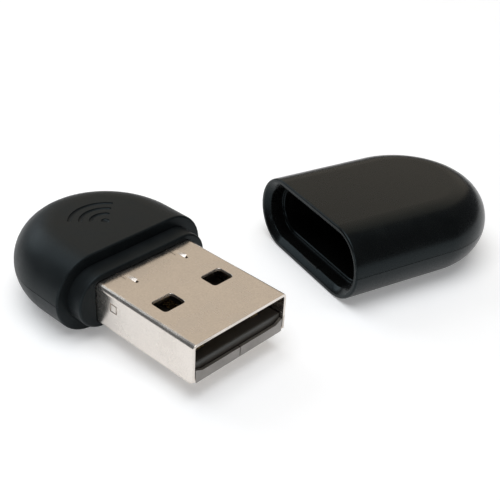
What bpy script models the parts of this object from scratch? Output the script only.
"""USB wifi adapter: black housing with a type A plug, its board inside, and the loose plug cap.

Frame: metres, +X along the plug to its tip, +Z up, z = 0 the table the adapter lies on.
The origin is the middle of the housing's flat underside. The cap lies beside the plug, turned.
"""

import bmesh
import bpy
from mathutils import Matrix, Vector
from math import pi, radians

MM = 0.001

# Driving sizes. Body section, shared by the housing and the cap.
BODY_WIDTH = 18.3 * MM
BODY_HEIGHT = 8.2 * MM
NOSE_LENGTH = 9.6 * MM
HOUSING_LENGTH = 13.2 * MM
CAP_LENGTH = 22.0 * MM
RIM_X = 4.6 * MM
RIM_ROUNDING = 0.2 * MM

# The plug, a USB type A.
PLUG_WIDTH = 12.0 * MM
PLUG_HEIGHT = 4.5 * MM
PLUG_OUT = 12.9 * MM
PLUG_IN = 2.8 * MM
SHEET = 0.3 * MM
BEND_RADIUS = 0.5 * MM
TONGUE_THICKNESS = 1.84 * MM
TONGUE_LENGTH = 8.9 * MM
CONTACT_WIDTH = 1.0 * MM
CONTACT_THICKNESS = 0.25 * MM
CONTACT_PROUD = 0.06 * MM
CONTACT_SPACING = (-3.5 * MM, -1.0 * MM, 1.0 * MM, 3.5 * MM)

# Walls, and the clearances everything fits by.
HOUSING_WALL = 1.15 * MM
COLLAR_PROUD = 1.9 * MM
COLLAR_DEPTH = 2.4 * MM
PRESS_FIT = 0.03 * MM
BOARD_FIT = 0.04 * MM
SEAT_FIT = 0.03 * MM
CAP_RUNNING_FIT = 0.1 * MM
CAP_STEP = 0.35 * MM
CAP_END_GAP = 0.2 * MM

# The circuit board.
BOARD_THICKNESS = 0.8 * MM
BOARD_WIDTH = 14.4 * MM
BOARD_REAR_GAP = 0.6 * MM
LEDGE_WIDTH = 1.2 * MM

# Where the cap lies: the middle of its mouth, and the way it points.
CAP_X = 11.85 * MM
CAP_Y = 17.85 * MM
CAP_TURN = radians(73.5)

# Positions that follow from the sizes.
PLUG_Z = BODY_HEIGHT / 2
TIP_X = RIM_X + COLLAR_PROUD + PLUG_OUT
COLLAR_WIDTH = BODY_WIDTH - 2 * (HOUSING_WALL + PRESS_FIT)
COLLAR_HEIGHT = BODY_HEIGHT - 2 * (HOUSING_WALL + PRESS_FIT)
COLLAR_REAR = RIM_X - COLLAR_DEPTH
SHELL_REAR = RIM_X - PLUG_IN
SHELL_FLOOR = PLUG_Z - PLUG_HEIGHT / 2 + SHEET
TONGUE_BASE = SHELL_FLOOR + SEAT_FIT
TONGUE_TOP = TONGUE_BASE + TONGUE_THICKNESS
CONTACT_TOP = TONGUE_TOP + CONTACT_PROUD
CONTACT_UNDER = CONTACT_TOP - CONTACT_THICKNESS
BLOCK_FRONT = TIP_X - TONGUE_LENGTH
BOARD_TOP = CONTACT_UNDER - BOARD_FIT
BOARD_UNDER = BOARD_TOP - BOARD_THICKNESS
BOARD_FRONT = SHELL_REAR - BOARD_FIT
BOARD_REAR = RIM_X - HOUSING_LENGTH + HOUSING_WALL + BOARD_REAR_GAP
PART_BASE = BOARD_TOP + SEAT_FIT

for leftover in list(bpy.data.objects):
    bpy.data.objects.remove(leftover, do_unlink=True)

scene = bpy.context.scene
scene.unit_settings.system = "METRIC"
parts = bpy.data.collections.new("usb_wifi_adapter")
cutters = bpy.data.collections.new("cutters")
scene.collection.children.link(parts)
scene.collection.children.link(cutters)


def material(name, colour, metallic, roughness):
    """A plain finish with the three values that tell the pieces apart."""
    result = bpy.data.materials.new(name)
    result.use_nodes = True
    shader = result.node_tree.nodes["Principled BSDF"]
    shader.inputs["Base Color"].default_value = (*colour, 1.0)
    shader.inputs["Metallic"].default_value = metallic
    shader.inputs["Roughness"].default_value = roughness
    return result


BLACK_SATIN = material("black_satin_plastic", (0.022, 0.023, 0.022), 0.0, 0.45)
BLACK_GLOSS = material("black_semi_gloss_plastic", (0.018, 0.018, 0.018), 0.0, 0.32)
TONGUE_BLACK = material("tongue_plastic", (0.012, 0.012, 0.013), 0.0, 0.5)
NICKEL = material("nickel_plated_steel", (0.66, 0.62, 0.57), 1.0, 0.25)
GOLD = material("gold_plated_contact", (0.85, 0.62, 0.28), 1.0, 0.25)
BOARD_GREEN = material("solder_mask", (0.01, 0.11, 0.05), 0.0, 0.4)
CHIP_BLACK = material("chip_resin", (0.016, 0.016, 0.017), 0.0, 0.55)
CAN_METAL = material("crystal_can", (0.62, 0.6, 0.55), 1.0, 0.35)
FERRITE = material("ferrite", (0.06, 0.055, 0.055), 0.0, 0.6)
CERAMIC = material("capacitor_ceramic", (0.36, 0.24, 0.14), 0.0, 0.5)
COPPER = material("gilt_copper_trace", (0.72, 0.42, 0.2), 1.0, 0.35)


def finish(bm, name, kind):
    """Puts a built mesh in the scene as a part with its material, or as a wire-drawn cutter."""
    bmesh.ops.recalc_face_normals(bm, faces=bm.faces[:])
    mesh = bpy.data.meshes.new(name)
    bm.to_mesh(mesh)
    bm.free()
    piece = bpy.data.objects.new(name, mesh)
    if kind is None:
        piece.hide_render = True
        piece.display_type = "WIRE"
        cutters.objects.link(piece)
    else:
        mesh.materials.append(kind)
        parts.objects.link(piece)
    return piece


def boolean(piece, operand, operation="DIFFERENCE"):
    """Adds an exact Boolean of the operand to the piece."""
    step = piece.modifiers.new(operand.name, "BOOLEAN")
    step.object = operand
    step.operation = operation
    step.solver = "EXACT"


def box_mesh(low, high):
    """A box between two opposite corners."""
    bm = bmesh.new()
    bmesh.ops.create_cube(bm, size=1.0)
    low, high = Vector(low), Vector(high)
    bmesh.ops.scale(bm, vec=high - low, verts=bm.verts)
    bmesh.ops.translate(bm, vec=(low + high) / 2, verts=bm.verts)
    return bm


def add_box(bm, low, high):
    """Adds one more box to a mesh that is being built."""
    more = bmesh.ops.create_cube(bm, size=1.0)["verts"]
    low, high = Vector(low), Vector(high)
    bmesh.ops.scale(bm, vec=high - low, verts=more)
    bmesh.ops.translate(bm, vec=(low + high) / 2, verts=more)
    return more


def edges_along(bm, axis):
    """The straight edges that run along one axis."""
    found = []
    for edge in bm.edges:
        run = edge.verts[1].co - edge.verts[0].co
        if abs(run[axis]) > 0.99 * run.length:
            found.append(edge)
    return found


def round_edges(bm, edges, width, steps):
    """Rounds the given edges."""
    bmesh.ops.bevel(
        bm, geom=edges, offset=width, offset_type="OFFSET", segments=steps,
        profile=0.5, affect="EDGES", clamp_overlap=False,
    )


def tube_section(name, low, high, width, height, radius, steps, kind):
    """A bar along X with a rounded rectangular section, centred on the plug's axis."""
    bm = box_mesh((low, -width / 2, PLUG_Z - height / 2), (high, width / 2, PLUG_Z + height / 2))
    round_edges(bm, edges_along(bm, 0), radius, steps)
    return finish(bm, name, kind)


def bullnose(length, width, height, nose, nose_steps, edge_steps):
    """The body form, centred on the X axis: sawn off flat at x = 0, flat top and bottom,
    half-round sides, and an elliptical plan for its last stretch, which ends at x = length."""
    bm = bmesh.new()
    bmesh.ops.create_circle(bm, cap_ends=True, segments=2 * nose_steps, radius=1.0)
    bmesh.ops.scale(bm, vec=(nose, width / 2, 1.0), verts=bm.verts)
    shoulder = length - nose
    bmesh.ops.translate(bm, vec=(shoulder, 0, -height / 2), verts=bm.verts)
    everything = bm.verts[:] + bm.edges[:] + bm.faces[:]
    bmesh.ops.bisect_plane(
        bm, geom=everything, dist=1e-7, plane_co=(shoulder, 0, 0), plane_no=(1, 0, 0),
        clear_inner=True,
    )
    sawn = [e for e in bm.edges if all(abs(v.co.x - shoulder) < 1e-7 for v in e.verts)]
    run = bmesh.ops.extrude_edge_only(bm, edges=sawn)["geom"]
    pulled = [v for v in run if isinstance(v, bmesh.types.BMVert)]
    bmesh.ops.translate(bm, vec=(-shoulder - 2 * height, 0, 0), verts=pulled)
    bmesh.ops.dissolve_faces(bm, faces=bm.faces[:])
    raised = bmesh.ops.extrude_face_region(bm, geom=bm.faces[:])["geom"]
    lifted = [v for v in raised if isinstance(v, bmesh.types.BMVert)]
    bmesh.ops.translate(bm, vec=(0, 0, height), verts=lifted)
    rim = []
    for edge in bm.edges:
        level = edge.verts[0].co.z - edge.verts[1].co.z
        across = max(v.co.x for v in edge.verts) < -height
        if abs(level) < 1e-7 and not across:
            rim.append(edge)
    round_edges(bm, rim, height / 2 - 1e-6, edge_steps)
    bmesh.ops.remove_doubles(bm, verts=bm.verts, dist=4e-6)
    return saw_off(bm, 0.0)


def saw_off(bm, station):
    """Cuts a body square at one X station, keeps the nose side and closes the cut with one face."""
    everything = bm.verts[:] + bm.edges[:] + bm.faces[:]
    bmesh.ops.bisect_plane(
        bm, geom=everything, dist=1e-7, plane_co=(station, 0, 0), plane_no=(1, 0, 0),
        clear_inner=True,
    )
    cut = [e for e in bm.edges if all(abs(v.co.x - station) < 1e-7 for v in e.verts)]
    bmesh.ops.contextual_create(bm, geom=cut)
    bmesh.ops.recalc_face_normals(bm, faces=bm.faces[:])
    return bm


def face_at(bm, station):
    """The flat end face at one X station."""
    return [f for f in bm.faces if all(abs(v.co.x - station) < 1e-7 for v in f.verts)]


def outline_of(bm, station):
    """The edges of the flat end at one X station."""
    return [e for e in bm.edges if all(abs(v.co.x - station) < 1e-7 for v in e.verts)]


def pull_mouth(bm, start, station, grow_y=1.0, grow_z=1.0):
    """Draws the end face of a cavity out to another station, widening it on the way."""
    old = face_at(bm, start)
    drawn = bmesh.ops.extrude_face_region(bm, geom=old)["geom"]
    verts = [v for v in drawn if isinstance(v, bmesh.types.BMVert)]
    bmesh.ops.delete(bm, geom=[f for f in old if f.is_valid], context="FACES_ONLY")
    bmesh.ops.translate(bm, vec=(station - start, 0, 0), verts=verts)
    bmesh.ops.scale(bm, vec=(1, grow_y, grow_z), verts=verts)


def stadium(name, low, high, width, height, rounded, kind):
    """A straight bar of the body section, with its front outline rounded when asked for."""
    bm = bullnose(4 * height, width, height, 2 * height, 4, 6)
    bmesh.ops.translate(bm, vec=(low, 0, 0), verts=bm.verts)
    bmesh.ops.bisect_plane(
        bm, geom=bm.verts[:] + bm.edges[:] + bm.faces[:], dist=1e-7,
        plane_co=(low + 1.5 * height, 0, 0), plane_no=(1, 0, 0), clear_outer=True,
    )
    far = [v for v in bm.verts if v.co.x > low + 1e-6]
    bmesh.ops.translate(bm, vec=(high - low - 1.5 * height, 0, 0), verts=far)
    bmesh.ops.contextual_create(bm, geom=outline_of(bm, high))
    if rounded:
        round_edges(bm, outline_of(bm, high), rounded, 2)
    bmesh.ops.translate(bm, vec=(0, 0, PLUG_Z), verts=bm.verts)
    return finish(bm, name, kind)


def toward_rear(bm):
    """Turns a body built with its nose at +X to point along -X, its mouth at the rim."""
    turn = Matrix.Rotation(pi, 3, "Z")
    bmesh.ops.rotate(bm, cent=(0, 0, 0), matrix=turn, verts=bm.verts)
    bmesh.ops.translate(bm, vec=(RIM_X, 0, PLUG_Z), verts=bm.verts)


# Housing: a one-piece cup. Its cavity keeps two ledges, one each side, that carry the board.
outside = bullnose(HOUSING_LENGTH, BODY_WIDTH, BODY_HEIGHT, NOSE_LENGTH, 24, 8)
round_edges(outside, outline_of(outside, 0.0), RIM_ROUNDING, 2)
toward_rear(outside)
housing = finish(outside, "housing_shell", BLACK_SATIN)

cavity_width = BODY_WIDTH - 2 * HOUSING_WALL
cavity_height = BODY_HEIGHT - 2 * HOUSING_WALL
inside = bullnose(
    HOUSING_LENGTH - HOUSING_WALL, cavity_width, cavity_height, NOSE_LENGTH - HOUSING_WALL, 20, 6
)
pull_mouth(inside, 0.0, -1 * MM)
toward_rear(inside)
housing_cavity = finish(inside, "housing_cavity", None)

ledge_low = BODY_HEIGHT / 2 - cavity_height / 2
ledge_inner = BOARD_WIDTH / 2 - LEDGE_WIDTH
ledge_rear = RIM_X - HOUSING_LENGTH + NOSE_LENGTH * 0.72
ledge_front = COLLAR_REAR - BOARD_FIT
ledges = bmesh.new()
for side in (-1, 1):
    near, far = sorted((side * ledge_inner, side * BODY_WIDTH / 2))
    add_box(
        ledges, (ledge_rear, near, ledge_low - 0.5 * MM), (ledge_front, far, BOARD_UNDER - SEAT_FIT)
    )
board_ledges = finish(ledges, "board_ledges", None)
boolean(housing_cavity, board_ledges)
boolean(housing, housing_cavity)

# The signal mark pressed into the top: a dot and three plain arcs round it.
MARK_DEPTH = 0.12 * MM
MARK_STROKE = 0.34 * MM
MARK_X = RIM_X - 3.95 * MM
MARK_SWEEP = radians(98)


def mark_arc(radius):
    """One arc of the mark: a small block swept about the dot, opening to the rear."""
    bm = bmesh.new()
    bmesh.ops.create_grid(bm, x_segments=1, y_segments=1, size=0.5)
    upright = Matrix.Rotation(pi / 2, 3, "X")
    bmesh.ops.rotate(bm, cent=(0, 0, 0), matrix=upright, verts=bm.verts)
    bmesh.ops.scale(bm, vec=(MARK_STROKE, 1.0, 2 * MARK_DEPTH), verts=bm.verts)
    bmesh.ops.translate(bm, vec=(radius, 0, 0), verts=bm.verts)
    start = Matrix.Rotation(pi - MARK_SWEEP / 2, 3, "Z")
    bmesh.ops.rotate(bm, cent=(0, 0, 0), matrix=start, verts=bm.verts)
    bmesh.ops.spin(
        bm, geom=bm.verts[:] + bm.edges[:] + bm.faces[:], cent=(0, 0, 0), axis=(0, 0, 1),
        angle=MARK_SWEEP, steps=10, use_merge=False, use_duplicate=False,
    )
    bmesh.ops.holes_fill(bm, edges=[e for e in bm.edges if e.is_boundary], sides=4)
    bmesh.ops.translate(bm, vec=(MARK_X, 0, BODY_HEIGHT), verts=bm.verts)
    return bm


for number, radius in enumerate((1.4 * MM, 2.45 * MM, 3.5 * MM), start=1):
    boolean(housing, finish(mark_arc(radius), f"mark_arc_{number}", None))
dot = bmesh.new()
bmesh.ops.create_cone(
    dot, cap_ends=True, segments=16, radius1=0.4 * MM, radius2=0.4 * MM, depth=2 * MARK_DEPTH
)
bmesh.ops.translate(dot, vec=(MARK_X, 0, BODY_HEIGHT), verts=dot.verts)
boolean(housing, finish(dot, "mark_dot", None))

# Collar: a sleeve pressed into the housing's mouth. The plug passes through its window.
collar = stadium(
    "front_collar", COLLAR_REAR, RIM_X + COLLAR_PROUD, COLLAR_WIDTH, COLLAR_HEIGHT, 0.25 * MM,
    BLACK_SATIN,
)
window = tube_section(
    "collar_window", COLLAR_REAR - 1 * MM, RIM_X + COLLAR_PROUD + 1 * MM,
    PLUG_WIDTH + 2 * PRESS_FIT, PLUG_HEIGHT + 2 * PRESS_FIT, BEND_RADIUS, 3, None,
)
boolean(collar, window)

# Plug shell: folded sheet, closed at the front by the lip only.
LIP_HEIGHT = 1.33 * MM
EAR_RISE = 0.52 * MM
EAR_START = 4.75 * MM
LIP_SLOT = 0.1 * MM
SEAM = 0.08 * MM
LEG_LENGTH = 2.2 * MM
LEG_BELOW = 0.9 * MM
inner_width = PLUG_WIDTH - 2 * SHEET
inner_height = PLUG_HEIGHT - 2 * SHEET
plug_low = PLUG_Z - PLUG_HEIGHT / 2
plug_high = PLUG_Z + PLUG_HEIGHT / 2

shell = tube_section(
    "usb_shell", SHELL_REAR - LEG_LENGTH, TIP_X, PLUG_WIDTH, PLUG_HEIGHT, BEND_RADIUS, 4, NICKEL
)
shell_bore = tube_section(
    "shell_bore", SHELL_REAR - LEG_LENGTH - 1 * MM, TIP_X - SHEET, inner_width, inner_height,
    BEND_RADIUS - SHEET, 3, None,
)
boolean(shell, shell_bore)

# Behind the collar only two side tails are left of the tube; they straddle the board's edges.
tails = bmesh.new()
reach = PLUG_WIDTH / 2 + 1 * MM
add_box(
    tails, (SHELL_REAR - LEG_LENGTH - 1 * MM, -reach, PLUG_Z + 0.45 * MM),
    (SHELL_REAR, reach, plug_high + 1 * MM),
)
add_box(
    tails, (SHELL_REAR - LEG_LENGTH - 1 * MM, -reach, plug_low - 1 * MM),
    (SHELL_REAR, reach, BOARD_UNDER - LEG_BELOW),
)
boolean(shell, finish(tails, "tail_cutter", None))

# The opening above the lip, rounded where the roof bends into the side walls.
opening_low = plug_low + LIP_HEIGHT
opening = box_mesh(
    (TIP_X - 1 * MM, -inner_width / 2, opening_low), (TIP_X + 1 * MM, inner_width / 2, plug_high - SHEET)
)
upper = [e for e in edges_along(opening, 0) if e.verts[0].co.z > PLUG_Z]
round_edges(opening, upper, BEND_RADIUS - SHEET, 3)
boolean(shell, finish(opening, "front_opening", None))
ears = bmesh.new()
for side in (-1, 1):
    block = add_box(
        ears, (TIP_X - SHEET, min(side * EAR_START, side * inner_width / 2), opening_low - 0.2 * MM),
        (TIP_X, max(side * EAR_START, side * inner_width / 2), opening_low + EAR_RISE),
    )
    slope = [v for v in block if abs(abs(v.co.y) - EAR_START) < 1e-7 and v.co.z > opening_low]
    bmesh.ops.translate(ears, vec=(0, 0, -EAR_RISE), verts=slope)
lip_ears = finish(ears, "lip_ears", None)
boolean(shell, lip_ears, "UNION")

# The lip is a flap of the floor turned up: slots part it from the side walls, a seam splits it
# and runs on along the underside, where the two edges of the folded sheet meet.
slits = bmesh.new()
for side in (-1, 1):
    middle = side * (inner_width / 2 - LIP_SLOT / 2)
    add_box(
        slits, (TIP_X - SHEET - 0.02 * MM, middle - LIP_SLOT / 2, plug_low - 0.5 * MM),
        (TIP_X + 0.5 * MM, middle + LIP_SLOT / 2, opening_low + EAR_RISE + 0.2 * MM),
    )
boolean(shell, finish(slits, "lip_slots", None))
seam = box_mesh(
    (SHELL_REAR - 1 * MM, -SEAM / 2, plug_low - 0.5 * MM),
    (TIP_X + 0.5 * MM, SEAM / 2, opening_low + 0.2 * MM),
)
boolean(shell, finish(seam, "sheet_seam", None))

# Latch windows, two on top and two below.
WINDOW_FRONT = 5.25 * MM
WINDOW_LENGTH = 2.0 * MM
WINDOW_WIDTH = 2.5 * MM
WINDOW_CENTRE = 3.1 * MM
for side, label in ((-1, "right"), (1, "left")):
    hole = box_mesh(
        (TIP_X - WINDOW_FRONT - WINDOW_LENGTH, side * WINDOW_CENTRE - WINDOW_WIDTH / 2, plug_low - 1 * MM),
        (TIP_X - WINDOW_FRONT, side * WINDOW_CENTRE + WINDOW_WIDTH / 2, plug_high + 1 * MM),
    )
    round_edges(hole, edges_along(hole, 2), 0.35 * MM, 3)
    boolean(shell, finish(hole, f"latch_windows_{label}", None))

# Punched marks: two wedges on top near the collar and a square on the side wall.
PUNCH_FRONT = 10.5 * MM
PUNCH_LENGTH = 1.9 * MM
PUNCH_WIDTH = 1.1 * MM
PUNCH_DEPTH = 0.17 * MM
punches = bmesh.new()
for side in (-1, 1):
    wedge = add_box(
        punches,
        (TIP_X - PUNCH_FRONT - PUNCH_LENGTH, side * 3.15 * MM - PUNCH_WIDTH / 2, plug_high - PUNCH_DEPTH),
        (TIP_X - PUNCH_FRONT, side * 3.15 * MM + PUNCH_WIDTH / 2, plug_high + 0.1 * MM),
    )
    shallow = [v for v in wedge if v.co.z < plug_high and v.co.x < TIP_X - PUNCH_FRONT - 1e-6]
    bmesh.ops.translate(punches, vec=(0, 0, PUNCH_DEPTH - 0.02 * MM), verts=shallow)
    near, far = sorted((side * (PLUG_WIDTH / 2 - 0.12 * MM), side * (PLUG_WIDTH / 2 + 0.1 * MM)))
    add_box(
        punches, (TIP_X - 10.95 * MM, near, PLUG_Z + 0.2 * MM), (TIP_X - 10.0 * MM, far, PLUG_Z + 1.15 * MM)
    )
boolean(shell, finish(punches, "punched_marks", None))

# Insulator: a block that fills the shell behind, and the tongue that stands out of it.
block_width = inner_width - 2 * SEAT_FIT
block_height = inner_height - 2 * SEAT_FIT
insulator = tube_section(
    "usb_insulator", SHELL_REAR, BLOCK_FRONT, block_width, block_height, BEND_RADIUS - SHEET, 2,
    TONGUE_BLACK,
)
tongue_bm = box_mesh(
    (SHELL_REAR + 1 * MM, -block_width / 2 + 0.1 * MM, TONGUE_BASE),
    (TIP_X - SHEET - 0.1 * MM, block_width / 2 - 0.1 * MM, TONGUE_TOP),
)
nose_edge = [e for e in edges_along(tongue_bm, 1) if min(v.co.x for v in e.verts) > BLOCK_FRONT]
round_edges(tongue_bm, nose_edge, 0.12 * MM, 2)
boolean(insulator, finish(tongue_bm, "tongue_form", None), "UNION")
CONTACT_FRONTS = (1.65 * MM, 2.65 * MM, 2.65 * MM, 1.65 * MM)
grooves = bmesh.new()
for y, front in zip(CONTACT_SPACING, CONTACT_FRONTS):
    half = CONTACT_WIDTH / 2 + SEAT_FIT
    add_box(
        grooves, (SHELL_REAR - 1 * MM, y - half, CONTACT_UNDER - SEAT_FIT),
        (TIP_X - front + SEAT_FIT, y + half, CONTACT_TOP + SEAT_FIT),
    )
boolean(insulator, finish(grooves, "contact_slots", None))

# Contacts: flat strips in the tongue whose tails lie on the board's pads.
TAIL_LENGTH = 1.3 * MM
CONTACT_NAMES = ("contact_ground", "contact_data_plus", "contact_data_minus", "contact_vbus")
for name, y, front in zip(CONTACT_NAMES, CONTACT_SPACING, CONTACT_FRONTS):
    strip = box_mesh(
        (BOARD_FRONT - TAIL_LENGTH, y - CONTACT_WIDTH / 2, CONTACT_UNDER),
        (TIP_X - front, y + CONTACT_WIDTH / 2, CONTACT_TOP),
    )
    crest = [e for e in edges_along(strip, 1) if e.verts[0].co.z > CONTACT_TOP - 1e-7]
    round_edges(strip, crest, 0.1 * MM, 2)
    finish(strip, name, GOLD)

# Board: square at the plug, rounded to the housing's plan at the rear, notched for the two tails.
board_bm = bmesh.new()
bmesh.ops.create_circle(board_bm, cap_ends=True, segments=32, radius=1.0)
board_nose = NOSE_LENGTH - HOUSING_WALL - BOARD_REAR_GAP
bmesh.ops.scale(board_bm, vec=(board_nose, BOARD_WIDTH / 2, 1.0), verts=board_bm.verts)
bmesh.ops.translate(board_bm, vec=(BOARD_REAR + board_nose, 0, BOARD_UNDER), verts=board_bm.verts)
bmesh.ops.bisect_plane(
    board_bm, geom=board_bm.verts[:] + board_bm.edges[:] + board_bm.faces[:], dist=1e-7,
    plane_co=(BOARD_REAR + board_nose, 0, 0), plane_no=(-1, 0, 0), clear_inner=True,
)
square_end = [
    e for e in board_bm.edges if all(abs(v.co.x - BOARD_REAR - board_nose) < 1e-7 for v in e.verts)
]
drawn = bmesh.ops.extrude_edge_only(board_bm, edges=square_end)["geom"]
bmesh.ops.translate(
    board_bm, vec=(BOARD_FRONT - BOARD_REAR - board_nose, 0, 0),
    verts=[v for v in drawn if isinstance(v, bmesh.types.BMVert)],
)
bmesh.ops.dissolve_faces(board_bm, faces=board_bm.faces[:])
raised = bmesh.ops.extrude_face_region(board_bm, geom=board_bm.faces[:])["geom"]
bmesh.ops.translate(
    board_bm, vec=(0, 0, BOARD_THICKNESS), verts=[v for v in raised if isinstance(v, bmesh.types.BMVert)]
)
board = finish(board_bm, "circuit_board", BOARD_GREEN)
notches = bmesh.new()
for side in (-1, 1):
    near, far = sorted((
        side * (PLUG_WIDTH / 2 + BOARD_FIT), side * (PLUG_WIDTH / 2 - SHEET - BOARD_FIT)
    ))
    add_box(
        notches, (SHELL_REAR - LEG_LENGTH - BOARD_FIT, near, BOARD_UNDER - 1 * MM),
        (BOARD_FRONT + 1 * MM, far, BOARD_TOP + 1 * MM),
    )
boolean(board, finish(notches, "tail_notches", None))


def chip(name, centre_x, centre_y, length, width, height, edge, kind):
    """A board part: a block with eased upper edges, seated on the board."""
    bm = box_mesh(
        (centre_x - length / 2, centre_y - width / 2, PART_BASE),
        (centre_x + length / 2, centre_y + width / 2, PART_BASE + height),
    )
    top = [e for e in bm.edges if all(v.co.z > PART_BASE + height - 1e-7 for v in e.verts)]
    round_edges(bm, top, edge, 1)
    return finish(bm, name, kind)


# Radio chip, clock, supply and the small parts round them.
chip("wifi_chip", -2.55 * MM, 0.3 * MM, 4.6 * MM, 4.6 * MM, 0.85 * MM, 0.06 * MM, CHIP_BLACK)
crystal_bm = box_mesh(
    (-2.9 * MM, 3.5 * MM, PART_BASE), (-0.7 * MM, 5.1 * MM, PART_BASE + 0.6 * MM)
)
round_edges(crystal_bm, edges_along(crystal_bm, 2), 0.25 * MM, 3)
finish(crystal_bm, "crystal", CAN_METAL)
chip("power_inductor", -0.6 * MM, -4.3 * MM, 2.0 * MM, 1.6 * MM, 1.0 * MM, 0.12 * MM, FERRITE)

regulator = chip(
    "voltage_regulator", -3.3 * MM, -4.5 * MM, 1.6 * MM, 1.6 * MM, 0.9 * MM, 0.1 * MM, CHIP_BLACK
)
leads = bmesh.new()
for lead_x in (-3.9 * MM, -3.3 * MM, -2.7 * MM):
    add_box(
        leads, (lead_x - 0.15 * MM, -5.6 * MM, PART_BASE),
        (lead_x + 0.15 * MM, -3.4 * MM, PART_BASE + 0.15 * MM),
    )
boolean(regulator, finish(leads, "regulator_leads", None), "UNION")

SMALL_LENGTH = 1.0 * MM
SMALL_WIDTH = 0.5 * MM
CAPACITORS = (
    (-1.9 * MM, 5.65 * MM, 0), (-1.8 * MM, 2.95 * MM, 0), (-3.6 * MM, 3.6 * MM, 1),
    (0.1 * MM, -2.3 * MM, 1), (-1.6 * MM, -2.9 * MM, 0), (-3.0 * MM, -3.0 * MM, 0),
)
for number, (x, y, across) in enumerate(CAPACITORS, start=1):
    size = (SMALL_WIDTH, SMALL_LENGTH) if across else (SMALL_LENGTH, SMALL_WIDTH)
    chip(f"capacitor_{number}", x, y, *size, 0.5 * MM, 0.05 * MM, CERAMIC)
RESISTORS = ((0.1 * MM, 2.25 * MM, 1), (0.1 * MM, 0.0 * MM, 1), (-4.4 * MM, 3.1 * MM, 1))
for number, (x, y, across) in enumerate(RESISTORS, start=1):
    size = (SMALL_WIDTH, SMALL_LENGTH) if across else (SMALL_LENGTH, SMALL_WIDTH)
    chip(f"resistor_{number}", x, y, *size, 0.35 * MM, 0.04 * MM, CHIP_BLACK)

# Printed antenna: one folded strip of copper along the rear edge of the board.
TRACE = 0.3 * MM
TRACE_HEIGHT = 0.05 * MM
TRACE_PITCH = 1.0 * MM
TRACE_FRONT = -5.25 * MM
TRACE_REAR = -6.35 * MM
trace = bmesh.new()
low_z, high_z = BOARD_TOP + 0.01 * MM, BOARD_TOP + 0.01 * MM + TRACE_HEIGHT
add_box(
    trace, (TRACE_REAR, -3 * TRACE_PITCH - TRACE / 2, low_z),
    (TRACE_FRONT, -3 * TRACE_PITCH + TRACE / 2, high_z),
)
antenna = finish(trace, "antenna_trace", COPPER)
rungs = bmesh.new()
for step in range(-2, 4):
    y = step * TRACE_PITCH
    add_box(rungs, (TRACE_REAR, y - TRACE / 2, low_z), (TRACE_FRONT, y + TRACE / 2, high_z))
antenna_rungs = finish(rungs, "antenna_rungs", None)
turns = bmesh.new()
for step in range(-3, 3):
    y = step * TRACE_PITCH
    end = TRACE_REAR if step % 2 else TRACE_FRONT - TRACE
    add_box(
        turns, (end, y - TRACE / 2, low_z), (end + TRACE, y + TRACE_PITCH + TRACE / 2, high_z)
    )
antenna_turns = finish(turns, "antenna_turns", None)
boolean(antenna, antenna_rungs, "UNION")
boolean(antenna, antenna_turns, "UNION")

# Cap: the body form hollowed out. Its mouth runs over the collar, stops on a step, and the
# bore behind takes the plug.
cap_mouth_wall = HOUSING_WALL - CAP_RUNNING_FIT + PRESS_FIT
cap_bore_wall = cap_mouth_wall + CAP_STEP
pocket_depth = COLLAR_PROUD + CAP_END_GAP
CAP_LEAD_IN = 0.6 * MM


def lay_cap(piece):
    """Puts a cap mesh, built with its mouth at the origin, where the cap lies."""
    piece.location = (CAP_X, CAP_Y, PLUG_Z)
    piece.rotation_euler = (0, 0, CAP_TURN)


cap_outside = bullnose(CAP_LENGTH, BODY_WIDTH, BODY_HEIGHT, NOSE_LENGTH, 24, 8)
round_edges(cap_outside, outline_of(cap_outside, 0.0), RIM_ROUNDING, 2)
cap = finish(cap_outside, "cap", BLACK_GLOSS)
lay_cap(cap)

bore = bullnose(
    CAP_LENGTH - cap_bore_wall, BODY_WIDTH - 2 * cap_bore_wall, BODY_HEIGHT - 2 * cap_bore_wall,
    NOSE_LENGTH - cap_bore_wall, 20, 6,
)
bore = saw_off(bore, 0.5 * MM)
cap_bore = finish(bore, "cap_bore", None)
lay_cap(cap_bore)
boolean(cap, cap_bore)

pocket_width = BODY_WIDTH - 2 * cap_mouth_wall
pocket_height = BODY_HEIGHT - 2 * cap_mouth_wall
pocket = bullnose(4 * pocket_height, pocket_width, pocket_height, 2 * pocket_height, 4, 6)
pocket = saw_off(pocket, CAP_LEAD_IN)
bmesh.ops.bisect_plane(
    pocket, geom=pocket.verts[:] + pocket.edges[:] + pocket.faces[:], dist=1e-7,
    plane_co=(pocket_depth, 0, 0), plane_no=(1, 0, 0), clear_outer=True,
)
bmesh.ops.contextual_create(pocket, geom=outline_of(pocket, pocket_depth))
pull_mouth(
    pocket, CAP_LEAD_IN, 0.0, 1 + 2 * CAP_LEAD_IN / pocket_width, 1 + 2 * CAP_LEAD_IN / pocket_height
)
pull_mouth(pocket, 0.0, -1 * MM)
cap_pocket = finish(pocket, "cap_pocket", None)
lay_cap(cap_pocket)
boolean(cap, cap_pocket)
